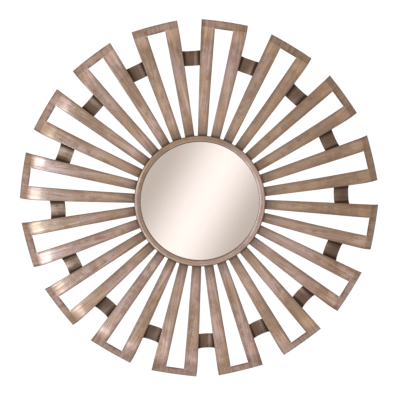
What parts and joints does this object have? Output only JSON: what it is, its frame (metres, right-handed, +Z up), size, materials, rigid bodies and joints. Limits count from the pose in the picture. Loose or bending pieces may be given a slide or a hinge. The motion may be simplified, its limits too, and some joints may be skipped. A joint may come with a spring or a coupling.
{
  "type": "wall mirror",
  "caption": "Sunburst wall mirror: a small round glass in a bead bezel, ringed by windowed rays of bent sheet metal with short link bands between them.",
  "frame": {"origin": "centre of the backing board's flat back, on the axis of the sunburst, in the plane of the wall", "axes": "-Y out of the wall along the way the mirror faces, +Y into the wall, +Z up, +X to the right as seen from the front"},
  "size_m": [0.8065, 0.0322, 0.8066],
  "materials": {
    "brushed_bronze": "brushed, champagne bronze lacquer",
    "dark_bronze": "brushed, dark bronze lacquer",
    "mirror_silver": "silvered glass",
    "hub_steel": "bronze paint, satin",
    "black_board": "fibreboard, painted dark",
    "zinc_steel": "zinc plated"
  },
  "bodies": {
    "root": {"mirror_glass": "mirror_silver", "bezel_ring": "brushed_bronze", "hub_plate": "hub_steel", "backing_board": "black_board", "sawtooth_hanger": "zinc_steel", "hanger_screw_left": "zinc_steel", "hanger_screw_right": "zinc_steel", "ray_frame_01": "brushed_bronze", "ray_frame_02": "brushed_bronze", "ray_frame_03": "brushed_bronze", "ray_frame_04": "brushed_bronze", "ray_frame_05": "brushed_bronze", "ray_frame_06": "brushed_bronze", "ray_frame_07": "brushed_bronze", "ray_frame_08": "brushed_bronze", "ray_frame_09": "brushed_bronze", "ray_frame_10": "brushed_bronze", "ray_frame_11": "brushed_bronze", "ray_frame_12": "brushed_bronze", "ray_frame_13": "brushed_bronze", "ray_frame_14": "brushed_bronze", "ray_frame_15": "brushed_bronze", "ray_frame_16": "brushed_bronze", "link_band_01": "dark_bronze", "link_band_02": "dark_bronze", "link_band_03": "dark_bronze", "link_band_04": "dark_bronze", "link_band_05": "dark_bronze", "link_band_06": "dark_bronze", "link_band_07": "dark_bronze", "link_band_08": "dark_bronze", "link_band_09": "dark_bronze", "link_band_10": "dark_bronze", "link_band_11": "dark_bronze", "link_band_12": "dark_bronze", "link_band_13": "dark_bronze", "link_band_14": "dark_bronze", "link_band_15": "dark_bronze", "link_band_16": "dark_bronze"}
  },
  "joints": []
}
